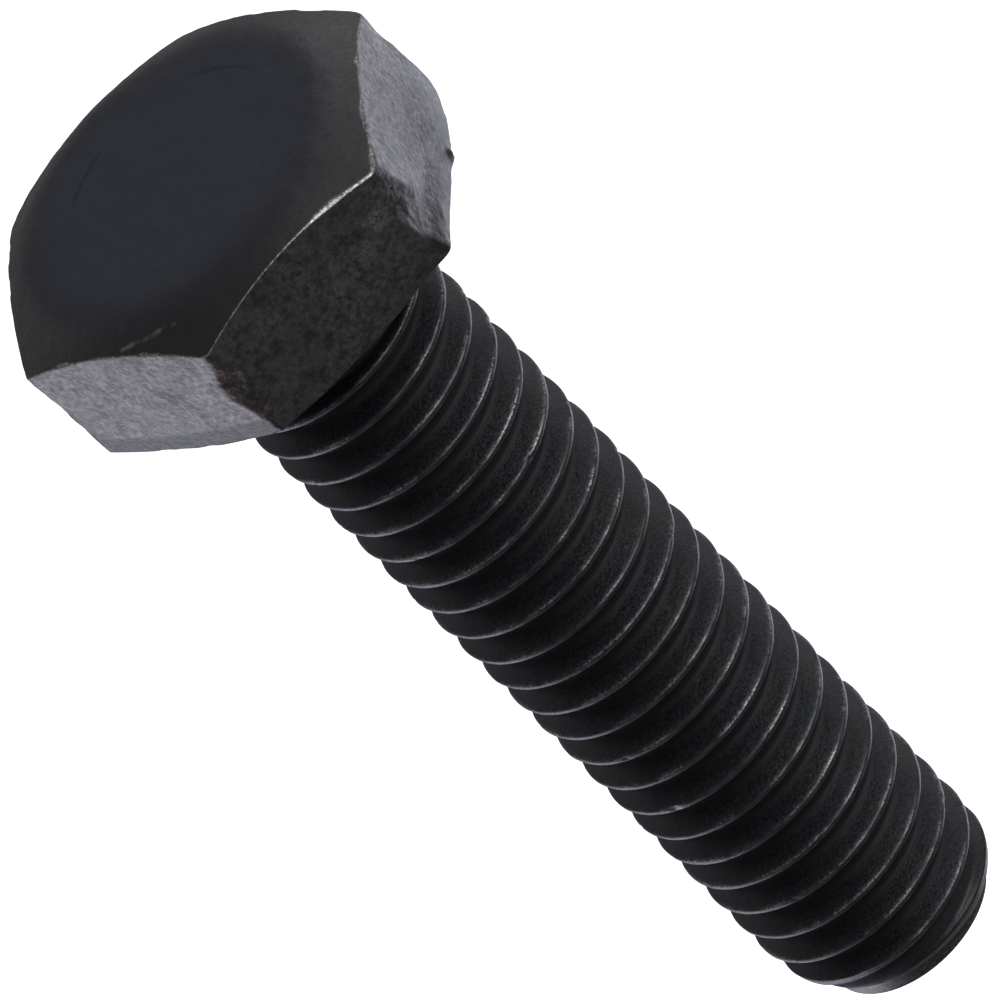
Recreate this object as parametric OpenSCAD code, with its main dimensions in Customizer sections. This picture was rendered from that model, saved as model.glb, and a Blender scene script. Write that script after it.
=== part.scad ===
// Fully threaded hexagon head bolt, M6 x 1 x 25, in black-oxide steel.
// Origin at the centre of the bearing face under the head, head towards +Z, thread towards -Z.
// The real bolt is one forging, so its head, neck, thread and point are nodes of one rigid body.

/* [Head] */
// Width across the flats
across_flats = 9.78; // [9:0.01:11]
// Height of the head above its bearing face
head_height = 4; // [3.4:0.1:5]
// Diameter of the flat on top of the head
top_flat_d = 8.4; // [7:0.05:8.6]
// Slope of the top chamfer, in degrees from the top face
top_chamfer_angle = 30; // [15:1:30]
// Slope of the chamfer under the head, in degrees from the bearing face
under_chamfer_angle = 18; // [15:1:30]
// Diameter of the bearing face
bearing_d = 9.4; // [8:0.05:9.5]

/* [Neck] */
// Diameter of the plain neck between head and thread
neck_d = 5.35; // [5.1:0.05:5.6]
// Radius of the fillet under the head
fillet_r = 0.4; // [0.3:0.05:0.6]
// Distance from the bearing face to the end of the plain neck
neck_length = 0.8; // [0.7:0.05:1.5]

/* [Thread] */
// Length from the bearing face to the tip
bolt_length = 25.2; // [16:0.1:30]
// Diameter over the thread crests
major_d = 5.8; // [5.75:0.01:5.97]
// Distance from one crest to the next
pitch = 1; // [1:0.25:1.25]
// Angle between the two flanks of the thread
flank_angle = 60; // [55:1:60]
// Depth of the thread
thread_depth = 0.57; // [0.52:0.01:0.65]
// Depth of a crest below the bearing face on the +X side, less whole pitches
crest_phase = 0.46; // [0:0.01:1]

/* [Point] */
// Length of the chamfered point
point_length = 1.2; // [0.8:0.1:1.5]
// Diameter of the end face
end_face_d = 4.6; // [4.2:0.1:5]

/* [Hidden] */

oxide_black = [0.07, 0.07, 0.08];
worn_grey = [0.16, 0.16, 0.18];

corner_r = across_flats / sqrt(3);
fillet_drop = 0.5;
shoulder_length = 0.35;
slack = 0.5;

steps_per_turn = 24;
crest_flat = pitch / 8;
groove_mouth = pitch - crest_flat;
groove_floor = groove_mouth - 2 * thread_depth * tan(flank_angle / 2);
mouth_lift = 0.08;
mouth_r = major_d / 2 + mouth_lift;
root_r = major_d / 2 - thread_depth;
mouth_half = groove_mouth / 2 + mouth_lift * tan(flank_angle / 2);
floor_half = groove_floor / 2;
shank_top = -neck_length;
shank_end = -(bolt_length - point_length);
runout_turns = 0.75;
runout_least_share = 0.05;
point_cone_top = shank_end - point_length / 4;

// Outline of a head blank turned about Z, with the chamfers above and below
module head_blank() {
    reach = corner_r + slack;
    top_drop = (reach - top_flat_d / 2) * tan(top_chamfer_angle);
    under_rise = (reach - bearing_d / 2) * tan(under_chamfer_angle);
    rotate_extrude($fn = 96)
        polygon([
            [0, 0], [bearing_d / 2, 0], [reach, under_rise],
            [reach, head_height - top_drop], [top_flat_d / 2, head_height], [0, head_height]
        ]);
}

// Fillet ring and the short stub of neck that is forged with the head
module head_fillet() {
    rotate_extrude($fn = 96)
        difference() {
            translate([0, -fillet_drop]) square([neck_d / 2 + fillet_r, fillet_drop]);
            translate([neck_d / 2 + fillet_r, -fillet_r]) circle(r = fillet_r, $fn = 48);
            translate([neck_d / 2, -fillet_drop - slack])
                square([fillet_r + slack, fillet_drop + slack - fillet_r]);
        }
}

// One ring of the groove's section at a given turn, from the head end downwards
function groove_ring(turn, z, depth_share) =
    let (
        floor_r = mouth_r - (mouth_r - root_r) * depth_share,
        mouth_h = mouth_half * depth_share + floor_half * (1 - depth_share)
    ) [
        [mouth_r * cos(turn), mouth_r * sin(turn), z - mouth_h],
        [floor_r * cos(turn), floor_r * sin(turn), z - floor_half],
        [floor_r * cos(turn), floor_r * sin(turn), z + floor_half],
        [mouth_r * cos(turn), mouth_r * sin(turn), z + mouth_h]
    ];

// Right-hand V groove between two heights, as one closed solid. At its top it runs out of the metal.
module thread_groove(z_low, z_high, fade) {
    rise = pitch / steps_per_turn;
    phase = crest_phase + pitch / 2;
    first = floor((z_low + phase) / rise);
    last = ceil((z_high + phase) / rise);
    count = last - first + 1;
    runout_steps = runout_turns * steps_per_turn;
    points = [
        for (i = [first : last])
            let (share = fade ? min(1, runout_least_share + (last - i) / runout_steps) : 1)
            each groove_ring(i * 360 / steps_per_turn, i * rise - phase, share)
    ];
    sides = [
        for (i = [0 : count - 2], k = [0 : 3])
            let (a = 4 * i + k, b = 4 * i + (k + 1) % 4)
            each [[a, b + 4, b], [a, a + 4, b + 4]]
    ];
    n = 4 * (count - 1);
    polyhedron(points, concat(sides, [[0, 1, 2, 3]], [[n + 3, n + 2, n + 1, n]]));
}

module hex_head() {
    color(worn_grey) union() {
        intersection() {
            cylinder(r = corner_r, h = head_height, $fn = 6);
            head_blank();
        }
        head_fillet();
    }
}

module neck() {
    color(oxide_black)
        translate([0, 0, -neck_length]) cylinder(d = neck_d, h = neck_length - fillet_drop, $fn = 96);
}

module threaded_shank() {
    color(oxide_black) difference() {
        rotate_extrude($fn = 96)
            polygon([
                [0, shank_end], [major_d / 2, shank_end], [major_d / 2, shank_top - shoulder_length],
                [neck_d / 2, shank_top], [0, shank_top]
            ]);
        thread_groove(shank_end - pitch, shank_top - shoulder_length, true);
    }
}

module point() {
    color(oxide_black) difference() {
        rotate_extrude($fn = 96)
            polygon([
                [0, -bolt_length], [end_face_d / 2, -bolt_length],
                [major_d / 2, point_cone_top], [major_d / 2, shank_end], [0, shank_end]
            ]);
        thread_groove(-bolt_length - pitch, shank_end + pitch, false);
    }
}

hex_head();
neck();
threaded_shank();
point();
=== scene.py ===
"""Looks of the hex bolt: a black-oxide M6 bolt with a worn hexagon head and a rolled thread.

Lengths in the shape functions are in millimetres and are turned into metres as each mesh is made.
"""
import math

import bmesh
import bpy
import numpy as np
from mathutils import Matrix, Vector


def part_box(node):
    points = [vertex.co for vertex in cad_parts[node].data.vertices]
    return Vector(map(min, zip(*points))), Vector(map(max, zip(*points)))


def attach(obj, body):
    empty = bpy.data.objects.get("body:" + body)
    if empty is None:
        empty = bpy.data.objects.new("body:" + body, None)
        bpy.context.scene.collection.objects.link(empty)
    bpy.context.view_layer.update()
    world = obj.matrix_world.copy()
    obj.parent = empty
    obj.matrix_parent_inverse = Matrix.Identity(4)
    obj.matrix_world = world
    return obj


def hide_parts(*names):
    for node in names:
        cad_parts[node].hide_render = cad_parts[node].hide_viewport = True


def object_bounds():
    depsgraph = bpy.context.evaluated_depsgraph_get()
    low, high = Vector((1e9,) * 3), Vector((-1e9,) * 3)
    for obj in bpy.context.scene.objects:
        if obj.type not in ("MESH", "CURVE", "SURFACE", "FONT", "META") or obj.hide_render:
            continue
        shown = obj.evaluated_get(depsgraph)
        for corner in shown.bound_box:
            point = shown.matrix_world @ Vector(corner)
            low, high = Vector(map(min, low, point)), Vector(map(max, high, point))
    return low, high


MM = 0.001

# Head, repeated from the CAD in millimetres
TOP_FLAT_R = 4.2
TOP_SLOPE = math.tan(math.radians(30))
BEARING_R = 4.7
UNDER_SLOPE = math.tan(math.radians(18))
FILLET_R = 0.4
STUB_LENGTH = 0.5

# Each corner's tear, from azimuth 0 on: its depth, the level of its middle and its spread as shares of
# the head's height, and how far its face is turned from the corner's own direction at the bottom
TEARS = (
    (0.0, 0.5, 0.8, 0.0),
    (0.08, 0.4, 0.4, 0.0),
    (0.26, 0.8, 0.8, 0.0),
    (0.18, 0.1, 0.5, 0.0),
    (0.20, 0.48, 0.19, 0.0),
    (0.23, 0.40, 0.28, 24.0),
)
# Depth worn off every corner, and the size of the lumps on a torn face
WORN_CORNER = 0.02
TORN_LUMP = 0.45
# How round an edge is at least, how much rounder a dull stretch is, and the most worn place on the rim
# of the top with what it adds and how far that reaches
KEEN_EDGE = 0.010
DULL_EDGE = 0.026
WORN_EDGE = 0.018
WORN_PLACE = np.array([2.1, -4.9, 3.3])
WORN_REACH = 1.4
# How soft the bends are at the top flat, at the bearing face and above the lower rim
TOP_SOFT = 0.22
UNDER_SOFT = 0.1
ROLLED_SOFT = 0.05
# How far each flat lies inside the true hexagon, or outside it below 0, from azimuth 30 on
FLAT_SINK = (0.0, 0.0, 0.07, 0.0, 0.0, -0.04)
# Places where the forging swells past its true shape, or has a dent where the height is below 0: the
# middle, the reach and the height of each
SWELLS = (
    (np.array([5.15, -1.3, 0.3]), 1.5, 0.20),
    (np.array([5.5, 0.0, 2.5]), 0.4, -0.04),
    (np.array([4.6, -3.0, 0.2]), 0.9, 0.07),
    (np.array([2.85, -4.9, 0.2]), 0.5, 0.08),
    (np.array([4.55, -1.95, 0.12]), 0.16, 0.09),
)
# The band that the die leaves above the lower rim: how far it leans in and how high it is
ROLLED_LEAN = math.tan(math.radians(9))
ROLLED_HEIGHT = 0.6
# The ends of a scuffed stripe across the front flat, seen from the front
SCUFF = ((2.7, 2.6), (0.1, 1.6))
# The ring that the punch left on top and the ends of a scratch, seen from above
RING_MIDDLE = (0.1, -0.1)
RING_R = 2.95
RING_DEPTH = 0.007
SCRATCH = ((-4.0, -2.8), (-2.6, -3.8))
SCRATCH_DEPTH = 0.006
MARK_WIDTH = 0.05

# Columns round the head, rows of points over each stretch of it, how they crowd towards its rims, and
# the radius of the innermost row as a share of the top flat's
HEAD_COLUMNS = 900
TOP_ROWS = 90
CHAMFER_ROWS = 45
SIDE_ROWS = 90
UNDER_ROWS = 24
BEARING_ROWS = 22
FILLET_ROWS = 10
CROWDING = 1.3
INNERMOST = 0.002
# Steps that bring the rows on to the worn surface
SURFACE_STEPS = 6

# Thread, repeated from the CAD in millimetres
PITCH = 1.0
MAJOR_R = 2.9
NECK_R = 2.675
ROOT_R = 2.34
CREST_HALF = 0.0625
CREST_PHASE = 0.46
NECK_END = -0.8
POINT_START = -24.0
FLANK_SLOPE = math.tan(math.radians(60))
# How soft the thread's crest and root are
CREST_SOFT = 0.026
ROOT_SOFT = 0.05
# Between these heights the groove runs out of the metal
RUNOUT_LOW = -2.3
RUNOUT_HIGH = -1.0
# Length below the plain neck over which the crests rise to their full height
SHOULDER_LENGTH = 0.75

# Radius of the end face, how far the face sits to one side and at what azimuth in degrees
TIP_R = 2.25
TIP_SHIFT = 0.05
TIP_SHIFT_AZIMUTH = -6
# The rounded point starts at the end face at this azimuth, and twice this much higher opposite
LEAD_SLANT = 0.18
LEAD_SLANT_AZIMUTH = 20
# How much the rounded point widens, and over what length
LEAD_RISE = 0.72
LEAD_LENGTH = 0.55
# Depth that the groove reaches in the point, and how far above the end it starts and is full
LEAD_GROOVE = 0.6
LEAD_GROOVE_START = 0.1
LEAD_GROOVE_FULL = 1.5

# Columns round the thread, and rows of points for each pitch
THREAD_COLUMNS = 240
ROWS_PER_PITCH = 30
# From 0 to 1, how much closer the rows lie on the crest and in the root than on the flanks
ROW_CROWDING = 0.56
# Distances in metres within which two points are one, and within which a point lies on a cut
SAME_POINT = 1e-8
ON_CUT = 1e-9
# Whole pitches of helix drawn past each end, so that every column reaches both ends
SPARE_TURNS = 2

# Colours of the oxide, of rust and of bare steel, with painted shade, painted highlights and painted fill
# light among them
BLUE_BLACK = (0.040, 0.046, 0.066)
CHAMFER_BLACK = (0.031, 0.029, 0.031)
BROWN_BLACK = (0.048, 0.044, 0.045)
DUST_GREY = (0.060, 0.060, 0.066)
SMOKE_GREY = (0.066, 0.062, 0.061)
BROWN_GREY = (0.090, 0.074, 0.066)
PIT_BLACK = (0.016, 0.016, 0.017)
FLAT_GREY = (0.125, 0.124, 0.127)
CLOUD_BLACK = (0.014, 0.014, 0.016)
BAND_SHADE_BLACK = (0.007, 0.006, 0.006)
RING_BLACK = (0.008, 0.008, 0.009)
TORN_BROWN = (0.030, 0.027, 0.027)
TORN_RED = (0.055, 0.030, 0.027)
TORN_GREY = (0.12, 0.115, 0.12)
EDGE_STEEL_AND_HIGHLIGHT = (0.37, 0.36, 0.36)
SCRATCH_STEEL = (0.20, 0.19, 0.19)
OIL_BLUE = (0.007, 0.010, 0.017)
OIL_BROWN = (0.015, 0.011, 0.010)
OIL_GREY = (0.034, 0.034, 0.037)
ROOT_FILL_GREY = (0.022, 0.022, 0.024)
TIP_GREY = (0.085, 0.080, 0.078)
CREST_GREY = (0.046, 0.047, 0.052)
CREST_STEEL_AND_HIGHLIGHT = (0.32, 0.32, 0.33)
PAPER_WHITE = (0.9, 0.9, 0.9)
PAPER_GLOW = 0.85
# Colour sockets of the mix node
MIX_A = 6
MIX_B = 7
MIX_RESULT = 2

# Camera: millimetres from the origin, degrees, and the lens in millimetres
CAMERA_AIM = (0.108, -0.011, -8.635)
CAMERA_AZIMUTH = -95.59
CAMERA_ELEVATION = 34.37
CAMERA_ROLL = 44.68
CAMERA_DISTANCE = 378.1
CAMERA_LENS = 593.5
CAMERA_SENSOR = 36.0

# Soft lights: azimuth from the camera's own and elevation in degrees, size in metres, power and colour
WHITE = (1, 1, 1)
LILAC = (0.84, 0.86, 1.0)
LIGHTS = {
    "key": (46, 38, 0.22, 1.9, WHITE),
    "left_flat_sheen": (-109, -33, 0.4, 1.75, LILAC),
    "right_flat_sheen": (131, -33, 0.4, 1.1, LILAC),
    "right_rim": (140, 27, 0.35, 0.45, WHITE),
    "upper_fill": (100, 55, 0.4, 0.28, WHITE),
    "left_rim": (-140, 27, 0.35, 0.12, WHITE),
}
LIGHT_DISTANCE = 0.5
LIT_PLACE = Vector((0, 0, -0.010))
SKY_COLOUR = (0.97, 0.97, 1.0, 1)
SKY_STRENGTH = 0.25
# The floor lies this far below the tip, so that the bolt can be seen from below as well
FLOOR_DROP = 0.25
FLOOR_HALF = 6.0


# ---------------------------------------------------------------- numbers

def smoothstep(low, high, x):
    """0 below low, 1 above high and smooth between; low may be above high."""
    t = np.clip((x - low) / (high - low), 0.0, 1.0)
    return t * t * (3.0 - 2.0 * t)


def lattice(ix, iy, iz, seed):
    """One steady pseudo-random value from 0 to 1 for each whole-number place."""
    h = ix * 374761393 + iy * 668265263 + iz * 2147483647 + seed * 1274126177
    h = (h ^ (h >> 13)) * 1274126177 & 0x7FFFFFFF
    h = (h ^ (h >> 16)) * 668265263 & 0x7FFFFFFF
    return (h ^ (h >> 15) & 0xFFFFFF) / float(0x7FFFFFFF)


def value_noise(points, size, seed):
    """Smooth noise from -1 to 1 at points, with lumps of the given size."""
    p = points / size
    cell = np.floor(p).astype(np.int64)
    t = p - cell
    t = t * t * (3.0 - 2.0 * t)
    total = 0.0
    for dx in (0, 1):
        for dy in (0, 1):
            for dz in (0, 1):
                weight = (t[:, 0] if dx else 1 - t[:, 0]) * (t[:, 1] if dy else 1 - t[:, 1])
                weight = weight * (t[:, 2] if dz else 1 - t[:, 2])
                total = total + weight * lattice(cell[:, 0] + dx, cell[:, 1] + dy, cell[:, 2] + dz, seed)
    return total * 2.0 - 1.0


def layered_noise(points, size, seed, layers=3):
    """Noise with finer layers added, each half the size and half the height of the last."""
    total, height = 0.0, 1.0
    for layer in range(layers):
        total = total + height * value_noise(points, size / 2 ** layer, seed + layer)
        height *= 0.5
    return total


# ---------------------------------------------------------------- meshes

def add_object(name, data):
    """A new object in the scene that shows the given data."""
    piece = bpy.data.objects.new(name, data)
    bpy.context.scene.collection.objects.link(piece)
    return piece


def make_mesh(name, points_mm, faces, masks):
    """A smooth-shaded mesh object from millimetre points, with a float attribute for each mask."""
    mesh = bpy.data.meshes.new(name)
    mesh.from_pydata((points_mm * MM).tolist(), [], faces)
    mesh.polygons.foreach_set("use_smooth", [True] * len(mesh.polygons))
    for mask, values in masks.items():
        layer = mesh.attributes.new(mask, "FLOAT", "POINT")
        layer.data.foreach_set("value", np.asarray(values, np.float32))
    mesh.update()
    return add_object(name, mesh)


def ring_faces(rows, columns):
    """Quads over a grid whose columns close round an axis; normals point out for rows going down."""
    row = np.arange(rows - 1)[:, None]
    column = np.arange(columns)[None, :]
    after = (column + 1) % columns
    a, b = row * columns + column, row * columns + after
    c, d = b + columns, a + columns
    return np.stack([a, d, c, b], axis=-1).reshape(-1, 4)


# ---------------------------------------------------------------- head

def head_sizes():
    """Distance across the flats and height of the head, in millimetres, from the frame."""
    low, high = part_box("hex_head")
    return (high[1] - low[1]) / MM, high[2] / MM


def height_above_rim(points):
    """Height of points above the head's lower rim, which rises a little towards the corners."""
    r = np.hypot(points[:, 0], points[:, 1])
    return points[:, 2] - np.maximum(r - BEARING_R, 0) * UNDER_SLOPE


def head_rows(across, height):
    """The sharp head as rows of points from the middle of its top, down its side and in to the neck."""
    columns = HEAD_COLUMNS
    turn = np.linspace(0, 2 * np.pi, columns, endpoint=False)
    rim = across / 2 / np.cos(turn % (np.pi / 3) - np.pi / 6)
    rim_top = height - (rim - TOP_FLAT_R) * TOP_SLOPE
    rim_low = np.maximum(rim - BEARING_R, 0) * UNDER_SLOPE
    fillet_edge = NECK_R + FILLET_R
    rows = []
    for share in np.linspace(INNERMOST, 1, TOP_ROWS):
        rows.append((np.full(columns, TOP_FLAT_R * share), np.full(columns, height)))
    for share in 1 - (1 - np.linspace(0, 1, CHAMFER_ROWS)[1:]) ** CROWDING:
        r = TOP_FLAT_R + (rim - TOP_FLAT_R) * share
        rows.append((r, height - (r - TOP_FLAT_R) * TOP_SLOPE))
    for share in (1 - np.cos(np.linspace(0, np.pi, SIDE_ROWS)[1:])) / 2:
        rows.append((rim, rim_top + (rim_low - rim_top) * share))
    for share in np.linspace(0, 1, UNDER_ROWS)[1:] ** CROWDING:
        r = rim + (BEARING_R - rim) * share
        rows.append((r, (r - BEARING_R) * UNDER_SLOPE))
    for share in np.linspace(0, 1, BEARING_ROWS)[1:]:
        rows.append((np.full(columns, BEARING_R + (fillet_edge - BEARING_R) * share), np.zeros(columns)))
    for angle in np.linspace(0, np.pi / 2, FILLET_ROWS)[1:]:
        r = fillet_edge - FILLET_R * math.sin(angle)
        rows.append((np.full(columns, r), np.full(columns, -FILLET_R + FILLET_R * math.cos(angle))))
    rows.append((np.full(columns, NECK_R), np.full(columns, -STUB_LENGTH)))
    radius = np.array([r for r, _ in rows])
    z = np.array([z for _, z in rows])
    return np.stack([radius * np.cos(turn), radius * np.sin(turn), z], axis=-1).reshape(-1, 3), len(rows)


def turned_limit(points, start_r, slope, z_side, soft):
    """How far points lie past a cone that is flat inside start_r: its rise, size of slope and normal."""
    x, y, _ = points.T
    r = np.maximum(np.hypot(x, y), 1e-6)
    past = (r - start_r) / soft
    lean = slope / (1 + np.exp(-past))
    size = np.hypot(1, lean)
    rise = soft * np.logaddexp(0, past) * slope
    return rise, size, np.stack([x / r * lean / size, y / r * lean / size, z_side / size], 1)


def flat_limits(points, across):
    """How far points lie past each flat. The flats lean in a little just above the head's lower rim."""
    below = (ROLLED_HEIGHT - height_above_rim(points)) / ROLLED_SOFT
    inward = ROLLED_LEAN * ROLLED_SOFT * np.logaddexp(0, below)
    dip = ROLLED_LEAN / (1 + np.exp(-below))
    for k, sink in enumerate(FLAT_SINK):
        angle = math.radians(30 + 60 * k)
        east, north = np.full_like(dip, math.cos(angle)), np.full_like(dip, math.sin(angle))
        out = points[:, 0] * east + points[:, 1] * north
        yield out - across / 2 + sink + inward, np.stack([east, north, -dip], 1)


def tear_limits(points, across, height):
    """How far points lie past the ragged face that is torn off each corner."""
    level = points[:, 2] / height
    ragged = (0.24 - 0.18 * smoothstep(0.5, 0.3, level)) * layered_noise(points, TORN_LUMP, 37, 4)
    for k, (depth, middle, spread, twist) in enumerate(TEARS):
        corner = math.radians(60 * k)
        share = np.exp(-((level - middle) / spread) ** 2)
        turned = corner + math.radians(twist) * smoothstep(0.55, 0.25, level)
        out = points[:, 0] * np.cos(turned) + points[:, 1] * np.sin(turned)
        corner_out = across / math.sqrt(3) * np.cos(turned - corner)
        slope = np.stack([np.cos(turned), np.sin(turned), np.zeros_like(level)], 1)
        yield out - corner_out + WORN_CORNER + depth * share * (1 + ragged), slope


def edge_roundness(points):
    """How round the head's edges are near each point, uneven along them and roundest where worn."""
    dull = smoothstep(-0.1, 0.8, layered_noise(points, 0.6, 61))
    from_worn = np.linalg.norm(points - WORN_PLACE, axis=1)
    return KEEN_EDGE + DULL_EDGE * dull + WORN_EDGE * np.exp(-(from_worn / WORN_REACH) ** 2)


def head_surface(points, across, height):
    """Signed distance to the head's outer surface, its slope, and how much of it is torn."""
    z = points[:, 2]
    rise, size, top_slope = turned_limit(points, TOP_FLAT_R, TOP_SLOPE, 1, TOP_SOFT)
    parts = [((z - height + rise) / size, top_slope)]
    rise, size, low_slope = turned_limit(points, BEARING_R, UNDER_SLOPE, -1, UNDER_SOFT)
    parts.append(((rise - z) / size, low_slope))
    parts.extend(flat_limits(points, across))
    parts.extend(tear_limits(points, across, height))
    limits = np.array([limit for limit, _ in parts])
    slopes = np.array([slope for _, slope in parts])
    roundness = edge_roundness(points)
    peak = limits.max(0)
    weights = np.exp((limits - peak) / roundness)
    total = weights.sum(0)
    slope = (weights[:, :, None] * slopes).sum(0) / total[:, None]
    torn = weights[-len(TEARS):].sum(0) / total
    return peak + roundness * np.log(total), slope, torn


def to_segment(places, start, end):
    """Distance of each place on a plane from the line between two others."""
    a, b = np.array(start), np.array(end)
    share = np.clip((places - a) @ (b - a) / ((b - a) @ (b - a)), 0, 1)
    return np.hypot(*(places - a - share[:, None] * (b - a)).T)


def head_marks(points, height):
    """The punch's faint ring and a thin scratch on top, as a drop and as two masks."""
    x, y, z = points.T
    top = smoothstep(0.72, 0.8, z / height)
    faint = smoothstep(-0.2, 0.5, value_noise(points, 1.3, 97)) * smoothstep(-1.5, 2.5, y)
    from_ring = np.hypot(x - RING_MIDDLE[0], y - RING_MIDDLE[1]) - RING_R
    ring = np.exp(-(from_ring / MARK_WIDTH) ** 2) * faint * top
    wander = 0.05 * value_noise(points, 0.3, 83)
    near = to_segment(points[:, :2] + wander[:, None], *SCRATCH)
    broken = smoothstep(-0.3, 0.4, value_noise(points, 0.16, 89))
    scratch = np.exp(-(near / MARK_WIDTH) ** 2) * broken * top
    return RING_DEPTH * ring + SCRATCH_DEPTH * scratch, ring, scratch


def head_wear(points):
    """The forging's unevenness and the coarser breaks of a torn face, as drops below the true surface."""
    uneven = 0.018 * layered_noise(points, 2.2, 11) + 0.004 * layered_noise(points, 0.3, 23)
    broken = 0.012 * layered_noise(points, 0.28, 53)
    swell = 0.0
    for middle, reach, rise in SWELLS:
        swell = swell + rise * np.exp(-(np.linalg.norm(points - middle, axis=1) / reach) ** 2)
    return uneven - swell, broken


def head_scuff(points):
    """A patchy stripe of bare specks across the front flat, strongest next to the corner at azimuth 300."""
    wander = 0.15 * value_noise(points, 0.5, 101)
    near = to_segment(points[:, [0, 2]] + wander[:, None], *SCUFF)
    patchy = smoothstep(-0.1, 0.7, layered_noise(points, 0.35, 103))
    return np.exp(-(near / 0.32) ** 2) * patchy * smoothstep(-1.2, 2.4, points[:, 0])


def head_masks(points, sharp, slope, torn, ring, scratch):
    """Where each finish of the head lies, and where shade and highlights are painted, from 0 to 1 at every
    point.
    """
    x, _, z = points.T
    slope_x, slope_y, slope_z = slope.T
    r = np.hypot(points[:, 0], points[:, 1])
    on_side = r > BEARING_R
    on_top = slope_z > 0.6
    # The foot of the tears on the +X side is nearly clean
    clean_foot = 1 - 0.9 * smoothstep(1.9, 1.3, z) * (x > 0)
    # The band above the lower rim is painted dark as the shade of its lean, and least on the two flats that
    # face -Y and +Y
    low = smoothstep(ROLLED_HEIGHT + 0.12, ROLLED_HEIGHT - 0.1, height_above_rim(points))
    return {
        "crown": smoothstep(3.0, 4.8, r) * (slope_z > 0.5),
        "side": smoothstep(0.5, 0.2, np.abs(slope_z)) * on_side,
        # Rim of the top: partly worn steel, partly a painted highlight
        "edge": smoothstep(0.12, 0.4, slope_z) * smoothstep(0.84, 0.6, slope_z),
        "torn": torn * on_side * clean_foot,
        "ring": ring * on_top,
        "scratch": scratch * on_top,
        "scuff": head_scuff(sharp) * (slope_y < -0.7) * (slope_z < 0.5),
        "low": low * smoothstep(-0.1, 0.6, np.abs(slope_x)),
    }


def build_head(material):
    """The forged head with its bearing face, fillet and stub of neck, in place of the CAD head."""
    across, height = head_sizes()
    sharp, rows = head_rows(across, height)
    marks, ring, scratch = head_marks(sharp, height)
    wear, broken = head_wear(sharp)
    # The middle of the bearing face, the fillet and the stub stay as the CAD has them
    outer = (np.hypot(sharp[:, 0], sharp[:, 1]) > NECK_R + FILLET_R + 0.2) | (sharp[:, 2] > 0.5)
    points = sharp
    for _ in range(SURFACE_STEPS):
        gap, slope, torn = head_surface(points, across, height)
        drop = gap + wear + broken * torn + marks
        points = points - np.where(outer, drop, 0.0)[:, None] * slope
    faces = ring_faces(rows, HEAD_COLUMNS).tolist()
    # One face closes the middle of the top and one the end of the stub
    last_row = range((rows - 1) * HEAD_COLUMNS, rows * HEAD_COLUMNS)
    faces.append(list(range(HEAD_COLUMNS)))
    faces.append(list(last_row)[::-1])
    masks = head_masks(points, sharp, slope, torn, ring, scratch)
    head = make_mesh("hex_head_forging", points, faces, masks)
    head.data.materials.append(material)
    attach(head, "root")
    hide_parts("hex_head")


# ---------------------------------------------------------------- thread

def thread_section():
    """Distances from the crest, as shares of the pitch, and the radius at each, over one pitch."""
    share = np.linspace(-0.5, 0.5, ROWS_PER_PITCH, endpoint=False)
    share = share - ROW_CROWDING * np.sin(4 * np.pi * share) / (4 * np.pi)
    flank = MAJOR_R - (np.abs(share) - CREST_HALF) * PITCH * FLANK_SLOPE
    # The small offsets make up for what the soft crest loses and the soft root gains
    radius = -CREST_SOFT * np.logaddexp(-flank / CREST_SOFT, -(MAJOR_R + 0.002) / CREST_SOFT)
    radius = ROOT_SOFT * np.logaddexp(radius / ROOT_SOFT, (ROOT_R - 0.01) / ROOT_SOFT)
    return share, radius


def neck_radius(r, z):
    """The thread's radius where its groove runs out and its crests slope down to the neck."""
    r = np.maximum(r, ROOT_R + (NECK_R - ROOT_R) * smoothstep(RUNOUT_LOW, RUNOUT_HIGH, z))
    start = NECK_END + 0.05
    sloping = smoothstep(start, NECK_END - SHOULDER_LENGTH, z)
    shoulder = NECK_R + (MAJOR_R + 0.05 - NECK_R) * sloping
    return np.minimum(r, np.where(z > start, NECK_R, shoulder))


def tip_radius(r, from_end, turn):
    """The thread's radius on the rounded point, and the radius of the end face, at each turn."""
    angle = 2 * np.pi * turn
    slant = LEAD_SLANT * (1 - np.cos(angle - math.radians(LEAD_SLANT_AZIMUTH)))
    above = np.clip(from_end - slant, 0, None)
    end_r = TIP_R + TIP_SHIFT * np.cos(angle - math.radians(TIP_SHIFT_AZIMUTH))
    lead = end_r + LEAD_RISE * (1 - np.exp(-above / LEAD_LENGTH))
    root = lead - LEAD_GROOVE * smoothstep(LEAD_GROOVE_START, LEAD_GROOVE_FULL, above)
    return np.minimum(np.maximum(r, root), lead), end_r


def thread_points(z_top, z_end):
    """The whole turned surface from neck to tip, on rows that follow the helix."""
    share, radius = thread_section()
    turns = int(round(-z_end / PITCH)) + 2 * SPARE_TURNS
    crest_number = (np.arange(turns)[:, None] - SPARE_TURNS + share[None, :]).ravel()
    turn = np.arange(THREAD_COLUMNS) / THREAD_COLUMNS
    z = -CREST_PHASE + PITCH * (turn[None, :] - crest_number[:, None])
    r = np.broadcast_to(np.tile(radius, turns)[:, None], z.shape)
    r, end_r = tip_radius(neck_radius(r, z), z - z_end, turn)
    r = np.where(z <= z_end, end_r, np.where(z >= z_top, NECK_R, r))
    angle = 2 * np.pi * turn
    points = np.stack([r * np.cos(angle), r * np.sin(angle), np.clip(z, z_end, z_top)], axis=-1)
    from_crest = np.broadcast_to(np.abs(np.tile(share, turns))[:, None], z.shape)
    return points, from_crest


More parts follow.
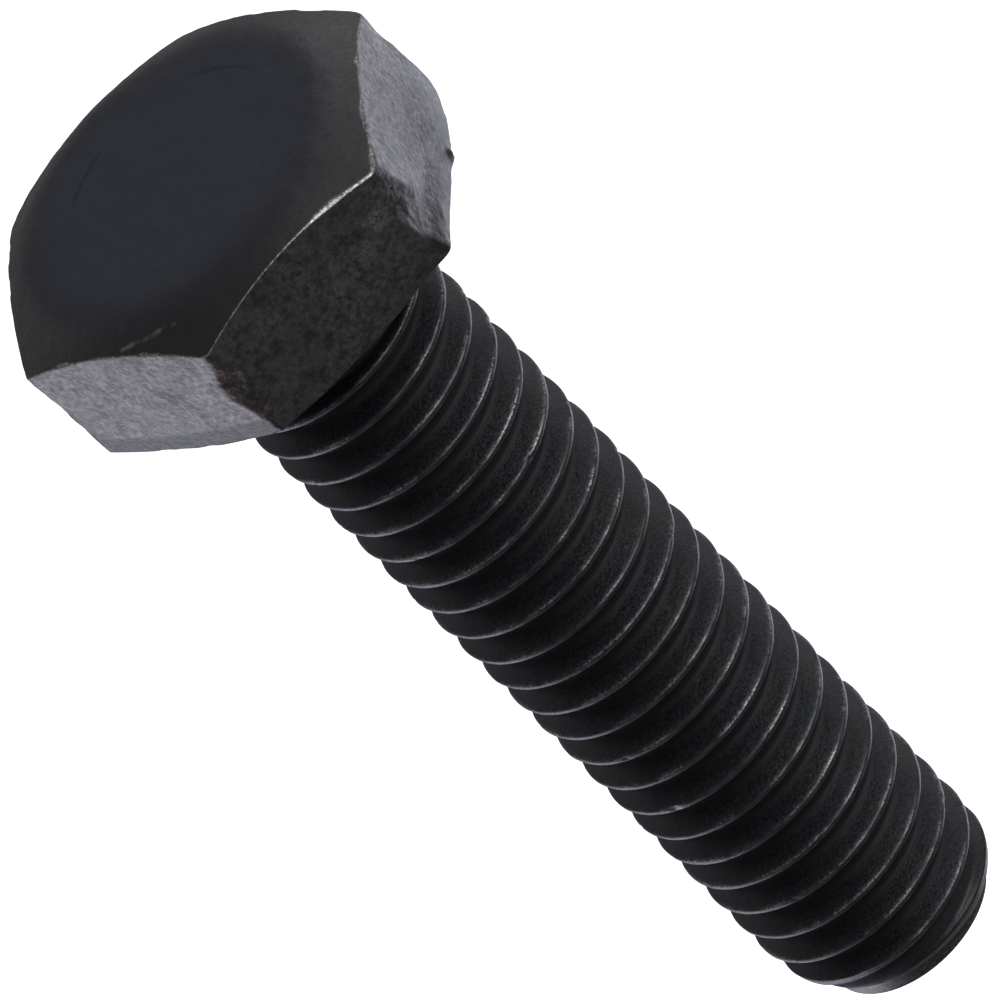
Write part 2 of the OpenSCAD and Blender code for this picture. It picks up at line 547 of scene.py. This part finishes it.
def thread_wear(points, crest):
    """Small dents along the crests and faint rolling marks on the flanks, as a drop in radius."""
    flat = points.reshape(-1, 3)
    dents = smoothstep(0.4, 0.8, value_noise(flat, 0.45, 71))
    dents = dents * smoothstep(0.1, 0.7, value_noise(flat, 0.13, 73))
    marks = 0.006 * layered_noise(flat, 0.5, 79, 4)
    return (0.045 * dents * crest.ravel() + marks).reshape(crest.shape)


def helix_faces(rows):
    """Quads over rows that climb one pitch in each turn, closing on the row one pitch further on."""
    row = np.arange(rows - 1 - ROWS_PER_PITCH)[:, None] + ROWS_PER_PITCH
    column = np.arange(THREAD_COLUMNS)[None, :]
    last = column == THREAD_COLUMNS - 1
    after = np.where(last, 0, column + 1)
    after_row = np.where(last, row - ROWS_PER_PITCH, row)
    a, b = row * THREAD_COLUMNS + column, after_row * THREAD_COLUMNS + after
    return np.stack([a, a + THREAD_COLUMNS, b + THREAD_COLUMNS, b], axis=-1).reshape(-1, 4)


def thread_masks(from_crest, z, z_end):
    """Where each finish of the thread lies, with the painted highlight on the crest rims and the painted
    fill light in the root, from 0 to 1 at every point.
    """
    return {
        "crest": smoothstep(CREST_HALF + 0.04, CREST_HALF - 0.02, from_crest),
        # Crest rims: partly worn steel, partly a painted highlight
        "rim": np.exp(-((from_crest - CREST_HALF) / 0.02) ** 2),
        # Root: painted lighter as fill light against the shade in the groove, and rougher
        "root": smoothstep(0.26, 0.40, from_crest),
        "tip": smoothstep(z_end + 0.75, z_end + 0.2, z),
    }


def build_thread(material):
    """The plain neck, the rolled thread and its point: one turned surface, cut where the CAD nodes meet."""
    z_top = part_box("neck")[1][2] / MM
    z_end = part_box("point")[0][2] / MM
    points, from_crest = thread_points(z_top, z_end)
    z = points[..., 2]
    masks = thread_masks(from_crest, z, z_end)
    # The neck and the end face stay smooth
    worn = (z < NECK_END - 0.3) & (z > z_end + 0.05)
    drop = thread_wear(points, masks["crest"]) * worn
    radius = np.hypot(points[..., 0], points[..., 1])
    points[..., :2] *= ((radius - drop) / radius)[..., None]
    masks = {name: mask.ravel() for name, mask in masks.items()}
    faces = helix_faces(len(points)).tolist()
    whole = make_mesh("whole_thread", points.reshape(-1, 3), faces, masks)
    close_ends(whole)
    cuts = {
        "neck_blank": ("neck", NECK_END, None),
        "rolled_thread": ("threaded_shank", POINT_START, NECK_END),
        "rolled_point": ("point", None, POINT_START),
    }
    for name, (node, low, high) in cuts.items():
        piece = cut_piece(whole, name, low, high)
        piece.data.materials.append(material)
        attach(piece, "root")
        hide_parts(node)
    bpy.data.objects.remove(whole, do_unlink=True)


def close_ends(whole):
    """Merges the rows that the ends collapsed, and closes the two flat ends."""
    work = bmesh.new()
    work.from_mesh(whole.data)
    bmesh.ops.remove_doubles(work, verts=work.verts, dist=SAME_POINT)
    bmesh.ops.dissolve_degenerate(work, edges=work.edges, dist=SAME_POINT)
    loose = [v for v in work.verts if not v.link_faces]
    bmesh.ops.delete(work, geom=loose, context="VERTS")
    bmesh.ops.holes_fill(work, edges=[e for e in work.edges if e.is_boundary])
    bmesh.ops.recalc_face_normals(work, faces=work.faces)
    work.to_mesh(whole.data)
    work.free()


def cut_piece(whole, name, low, high):
    """The stretch of the thread between two heights in millimetres, closed at each cut."""
    work = bmesh.new()
    work.from_mesh(whole.data)
    for level, side in ((low, -1), (high, 1)):
        if level is None:
            continue
        bmesh.ops.bisect_plane(
            work,
            geom=work.verts[:] + work.edges[:] + work.faces[:],
            dist=ON_CUT,
            plane_co=(0, 0, level * MM),
            plane_no=(0, 0, side),
            clear_outer=True,
        )
        bmesh.ops.holes_fill(work, edges=[e for e in work.edges if e.is_boundary])
    for face in work.faces:
        flat_end = abs(face.normal.z) > 0.999
        face.smooth = not flat_end
    mesh = bpy.data.meshes.new(name)
    work.to_mesh(mesh)
    work.free()
    return add_object(name, mesh)


# ---------------------------------------------------------------- materials

class Nodes:
    """Short calls for building one material's nodes."""

    def __init__(self, name):
        self.material = bpy.data.materials.new(name)
        self.material.use_nodes = True
        self.tree = self.material.node_tree
        self.tree.nodes.clear()
        self.shader = self.tree.nodes.new("ShaderNodeBsdfPrincipled")
        output = self.tree.nodes.new("ShaderNodeOutputMaterial")
        self.link(self.shader.outputs[0], output.inputs[0])
        self.place = self.tree.nodes.new("ShaderNodeTexCoord").outputs["Object"]

    def link(self, source, target):
        """Joins one socket to another."""
        self.tree.links.new(source, target)

    def noise(self, size_mm, detail=3.0, squeeze=(1, 1, 1), roughness=0.55):
        """Noise whose lumps measure size_mm, and less along an axis whose squeeze is above 1."""
        mapping = self.tree.nodes.new("ShaderNodeMapping")
        mapping.inputs["Scale"].default_value = [s / (size_mm * MM) for s in squeeze]
        self.link(self.place, mapping.inputs["Vector"])
        node = self.tree.nodes.new("ShaderNodeTexNoise")
        node.inputs["Scale"].default_value = 1.0
        node.inputs["Detail"].default_value = detail
        node.inputs["Roughness"].default_value = roughness
        self.link(mapping.outputs[0], node.inputs["Vector"])
        return node.outputs["Fac"]

    def mask(self, name):
        """One of the masks that the shape functions keep with their points."""
        node = self.tree.nodes.new("ShaderNodeAttribute")
        node.attribute_name = name
        return node.outputs["Fac"]

    def span(self, value, low, high, to_low=0.0, to_high=1.0):
        """Maps value from low..high to to_low..to_high, held at both ends."""
        node = self.tree.nodes.new("ShaderNodeMapRange")
        for name, number in zip(("From Min", "From Max", "To Min", "To Max"), (low, high, to_low, to_high)):
            node.inputs[name].default_value = number
        self.link(value, node.inputs["Value"])
        return node.outputs[0]

    def maths(self, operation, a, b):
        """One operation on two values, each a number or a socket."""
        node = self.tree.nodes.new("ShaderNodeMath")
        node.operation = operation
        for socket, value in zip(node.inputs, (a, b)):
            if isinstance(value, (int, float)):
                socket.default_value = value
            else:
                self.link(value, socket)
        return node.outputs[0]

    def blend(self, amount, a, b):
        """Colour a where amount is 0 and colour b where it is 1."""
        node = self.tree.nodes.new("ShaderNodeMix")
        node.data_type = "RGBA"
        self.link(amount, node.inputs["Factor"])
        for index, value in ((MIX_A, a), (MIX_B, b)):
            if isinstance(value, tuple):
                node.inputs[index].default_value = value + (1.0,)
            else:
                self.link(value, node.inputs[index])
        return node.outputs[MIX_RESULT]

    def bump(self, height, depth_mm, before=None):
        """Bumps of the given depth, on top of those made before."""
        node = self.tree.nodes.new("ShaderNodeBump")
        node.inputs["Strength"].default_value = 1.0
        node.inputs["Distance"].default_value = depth_mm * MM
        self.link(height, node.inputs["Height"])
        if before is not None:
            self.link(before, node.inputs["Normal"])
        return node.outputs[0]


def head_oxide():
    """Black oxide: bluish on the flat of the top, brownish on the chamfer and in the torn corners."""
    n = Nodes("head_black_oxide")
    blotch = n.noise(1.4, 4)
    grain = n.noise(0.13, 5, roughness=0.7)
    fleck = n.noise(0.07, 3, roughness=0.75)
    cloud = n.noise(0.45, 4, roughness=0.65)
    top = n.blend(n.mask("crown"), BLUE_BLACK, CHAMFER_BLACK)
    top = n.blend(n.span(blotch, 0.4, 0.75, 0, 0.4), top, BROWN_BLACK)
    top = n.blend(n.span(grain, 0.35, 0.8, 0, 0.35), top, DUST_GREY)
    top = n.blend(n.maths("MULTIPLY", n.mask("ring"), 0.5), top, RING_BLACK)
    dark = n.blend(n.span(blotch, 0.35, 0.65), SMOKE_GREY, BROWN_GREY)
    grey = n.blend(n.span(grain, 0.36, 0.66), PIT_BLACK, FLAT_GREY)
    side = n.blend(n.span(blotch, 0.3, 0.6, 0.3, 0.8), dark, grey)
    side = n.blend(n.span(cloud, 0.48, 0.66, 0.0, 0.6), side, CLOUD_BLACK)
    # Painted shade: the band above the lower rim is darkened in colour
    side = n.blend(n.maths("MULTIPLY", n.mask("low"), 0.9), side, BAND_SHADE_BLACK)
    side = n.blend(n.maths("MULTIPLY", n.mask("scuff"), n.span(fleck, 0.4, 0.6)), side, SCRATCH_STEEL)
    colour = n.blend(n.mask("side"), top, side)
    rust = n.blend(n.span(blotch, 0.5, 0.62), TORN_BROWN, TORN_RED)
    rust = n.blend(n.span(grain, 0.5, 0.75), rust, TORN_GREY)
    colour = n.blend(n.maths("MULTIPLY", n.mask("torn"), 0.9), colour, rust)
    # Worn steel and a painted highlight along the rim of the top
    worn = n.maths("MULTIPLY", n.mask("edge"), n.span(fleck, 0.38, 0.62, 0.05, 0.9))
    colour = n.blend(worn, colour, EDGE_STEEL_AND_HIGHLIGHT)
    colour = n.blend(n.maths("MULTIPLY", n.mask("scratch"), 0.7), colour, SCRATCH_STEEL)
    n.link(colour, n.shader.inputs["Base Color"])
    n.shader.inputs["Metallic"].default_value = 0.85
    n.link(n.span(grain, 0.3, 0.7, 0.50, 0.36), n.shader.inputs["Roughness"])
    coarse = n.bump(blotch, 0.04)
    rough = n.span(n.mask("side"), 0.0, 1.0, 0.35, 1.0)
    fine = n.bump(n.maths("MULTIPLY", grain, rough), 0.018, coarse)
    n.link(n.bump(n.maths("MULTIPLY", fleck, rough), 0.008, fine), n.shader.inputs["Normal"])
    return n.material


def thread_oxide():
    """Oiled, near-black oxide on the rolled thread, with grey crests whose rims are painted bright, partly
    as worn steel and partly as a painted highlight, and a root painted lighter as fill light.
    """
    n = Nodes("thread_black_oxide")
    blotch = n.noise(1.2, 4)
    patch = n.noise(1.1, 3)
    drawn = n.noise(0.35, 4, squeeze=(1, 1, 4))
    fleck = n.noise(0.07, 4, roughness=0.75)
    base = n.blend(n.span(blotch, 0.35, 0.65), OIL_BLUE, OIL_BROWN)
    base = n.blend(n.span(fleck, 0.4, 0.7), base, OIL_GREY)
    # Painted fill light: the root is a lighter grey to lift the shade in the groove
    base = n.blend(n.mask("root"), base, ROOT_FILL_GREY)
    specks = n.maths("MULTIPLY", n.mask("tip"), n.span(fleck, 0.35, 0.65))
    base = n.blend(specks, base, TIP_GREY)
    ribbon = n.maths("MULTIPLY", n.mask("crest"), n.span(drawn, 0.35, 0.65, 0.1, 1.0))
    colour = n.blend(ribbon, base, CREST_GREY)
    # Worn steel and a painted highlight along the crest rims
    worn = n.maths("MULTIPLY", n.mask("rim"), n.span(fleck, 0.42, 0.62, 0.0, 1.0))
    worn = n.maths("MULTIPLY", worn, n.span(patch, 0.47, 0.62, 0.0, 1.0))
    colour = n.blend(worn, colour, CREST_STEEL_AND_HIGHLIGHT)
    n.link(colour, n.shader.inputs["Base Color"])
    n.shader.inputs["Metallic"].default_value = 0.8
    oiled = n.span(fleck, 0.3, 0.7, 0.30, 0.52)
    n.link(n.maths("ADD", oiled, n.maths("MULTIPLY", n.mask("root"), 0.4)), n.shader.inputs["Roughness"])
    coarse = n.bump(blotch, 0.03)
    n.link(n.bump(fleck, 0.012, coarse), n.shader.inputs["Normal"])
    return n.material


def floor_material():
    """Matt white paper with a glow of its own, so that it stays white a long way below the bolt."""
    n = Nodes("white_paper")
    n.shader.inputs["Base Color"].default_value = PAPER_WHITE + (1,)
    n.shader.inputs["Roughness"].default_value = 0.9
    n.shader.inputs["Emission Color"].default_value = WHITE + (1,)
    n.shader.inputs["Emission Strength"].default_value = PAPER_GLOW
    return n.material


# ---------------------------------------------------------------- stage

def direction(azimuth, elevation):
    """Unit vector that points from the bolt to a place at that azimuth and elevation, in degrees."""
    a, e = math.radians(azimuth), math.radians(elevation)
    return Vector((math.cos(e) * math.cos(a), math.cos(e) * math.sin(a), math.sin(e)))


def build_floor():
    """A pale floor well below the tip. It shows behind the bolt but sends no light into the dark steel."""
    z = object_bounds()[0][2] - FLOOR_DROP
    half = FLOOR_HALF
    corners = [(-half, -half, z), (half, -half, z), (half, half, z), (-half, half, z)]
    mesh = bpy.data.meshes.new("floor")
    mesh.from_pydata(corners, [], [(0, 1, 2, 3)])
    floor = add_object("floor", mesh)
    floor.data.materials.append(floor_material())
    floor.visible_glossy = False
    floor.visible_diffuse = False
    floor.visible_shadow = False


def add_light(name, azimuth, elevation, size, power, colour):
    """A square soft light that faces the bolt. The azimuth is measured from the camera's own."""
    lamp = bpy.data.lights.new(name, "AREA")
    lamp.shape = "SQUARE"
    lamp.size = size
    lamp.energy = power
    lamp.color = colour
    light = add_object(name, lamp)
    towards = direction(CAMERA_AZIMUTH + azimuth, elevation)
    light.location = LIT_PLACE + towards * LIGHT_DISTANCE
    light.rotation_euler = (-towards).to_track_quat("-Z", "Y").to_euler()
    light.visible_camera = False


def build_lights():
    """A faint even sky and the soft lights round the bolt."""
    world = bpy.data.worlds.new("studio")
    world.use_nodes = True
    background = world.node_tree.nodes["Background"]
    background.inputs["Color"].default_value = SKY_COLOUR
    background.inputs["Strength"].default_value = SKY_STRENGTH
    bpy.context.scene.world = world
    for name, settings in LIGHTS.items():
        add_light(name, *settings)


def build_camera():
    """The camera of the photo: a long lens, aimed at the middle of the bolt and rolled."""
    camera = add_object("camera", bpy.data.cameras.new("camera"))
    camera.data.lens = CAMERA_LENS
    camera.data.sensor_width = CAMERA_SENSOR
    camera.data.clip_start = 0.01
    towards = direction(CAMERA_AZIMUTH, CAMERA_ELEVATION)
    camera.location = Vector(CAMERA_AIM) * MM + towards * CAMERA_DISTANCE * MM
    level = (-towards).to_track_quat("-Z", "Y").to_matrix()
    roll = Matrix.Rotation(math.radians(-CAMERA_ROLL), 3, "Z")
    camera.rotation_euler = (level @ roll).to_euler()
    bpy.context.scene.camera = camera


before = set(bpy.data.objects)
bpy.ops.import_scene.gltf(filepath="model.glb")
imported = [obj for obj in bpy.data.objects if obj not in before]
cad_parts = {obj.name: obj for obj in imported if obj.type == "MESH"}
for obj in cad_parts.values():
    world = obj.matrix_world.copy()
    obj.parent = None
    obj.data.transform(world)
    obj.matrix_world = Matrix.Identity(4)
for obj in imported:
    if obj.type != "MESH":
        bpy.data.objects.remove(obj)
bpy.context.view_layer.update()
build_camera()
build_floor()
build_lights()
build_head(head_oxide())
build_thread(thread_oxide())
bpy.context.scene.view_settings.view_transform = "Standard"
